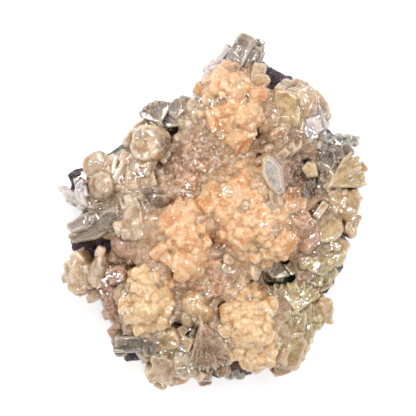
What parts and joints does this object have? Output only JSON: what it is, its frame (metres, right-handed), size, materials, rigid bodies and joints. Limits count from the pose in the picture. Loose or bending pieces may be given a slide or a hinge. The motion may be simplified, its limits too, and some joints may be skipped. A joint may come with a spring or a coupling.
{
  "type": "stellerite with heulandite",
  "caption": "Loose mineral specimen: orange stellerite druse in mounds, ringed by glassy heulandite crystals, on flat-backed dark basalt.",
  "frame": {"origin": "middle of the outline, on the plane that the flat back rests on", "axes": "+Z out of the crystal side, away from the flat back; +Y towards the specimen's peak; +X to the right when the crystal side is seen with the peak up"},
  "size_m": [0.0934, 0.107, 0.0387],
  "materials": {
    "basalt": "rough, grainy, dull",
    "stellerite_orange": "glossy translucent druse",
    "stellerite_yellow": "glossy translucent druse",
    "stellerite_pink": "glossy translucent druse",
    "stellerite_brown": "glossy, striated",
    "heulandite_cream": "pearly, translucent",
    "heulandite_tan": "glassy, translucent",
    "heulandite_grey": "glassy, see-through in thin places",
    "heulandite_mauve": "glassy, translucent",
    "heulandite_pearl": "pearly, nearly clear",
    "heulandite_olive": "glassy, translucent",
    "celadonite": "earthy, dull, with small glassy grains"
  },
  "bodies": {
    "root": {"basalt_matrix": "basalt", "stellerite_bed": "stellerite_brown", "heulandite_coffin_centre": "heulandite_pearl", "heulandite_striated_right": "stellerite_pink", "heulandite_prisms_centre": "heulandite_cream", "heulandite_cap_top": "heulandite_grey", "heulandite_wedges_top": "heulandite_cream", "heulandite_plates_top_left": "heulandite_pearl", "heulandite_tan_shoulder": "heulandite_tan", "heulandite_balls_shoulder": "heulandite_cream", "heulandite_golden_ball": "heulandite_tan", "heulandite_glassy_shoulder": "heulandite_pearl", "heulandite_ball_left": "heulandite_cream", "heulandite_fan_upper_left": "heulandite_grey", "heulandite_ledge_upper_left": "heulandite_cream", "heulandite_cluster_left": "heulandite_cream", "heulandite_block_far_left": "heulandite_cream", "heulandite_crescent_left": "heulandite_pearl", "heulandite_blades_left": "heulandite_grey", "heulandite_point_left": "heulandite_cream", "heulandite_mauve_left": "heulandite_mauve", "heulandite_barrel_centre": "heulandite_cream", "stellerite_scallops": "heulandite_olive", "heulandite_olive_blocks": "heulandite_olive", "heulandite_barrel_right": "heulandite_tan", "heulandite_block_bottom_right": "heulandite_tan", "heulandite_disc_right": "heulandite_tan", "heulandite_ledge_right": "heulandite_tan", "stellerite_fan_right": "heulandite_tan", "heulandite_field_right": "heulandite_mauve", "heulandite_grey_right": "heulandite_grey", "celadonite_druse_right": "celadonite", "heulandite_blocks_right": "heulandite_olive", "heulandite_flat_low": "heulandite_olive", "heulandite_points_far_left": "heulandite_cream", "heulandite_tan_low": "heulandite_tan", "heulandite_gold_bottom": "heulandite_tan", "heulandite_pair_bottom": "heulandite_cream", "heulandite_grey_block_bottom": "heulandite_grey", "celadonite_druse_bottom": "celadonite", "stellerite_mound_centre": "stellerite_orange", "stellerite_mound_left": "stellerite_orange", "stellerite_mound_top": "stellerite_orange", "stellerite_mound_lower_right": "stellerite_yellow", "stellerite_mound_lower_left": "stellerite_yellow", "stellerite_crust_left": "stellerite_pink", "stellerite_fan_bottom": "stellerite_brown", "stellerite_crust_lower_left": "stellerite_pink", "stellerite_crust_upper": "stellerite_pink", "stellerite_druse_low": "stellerite_pink"}
  },
  "joints": []
}
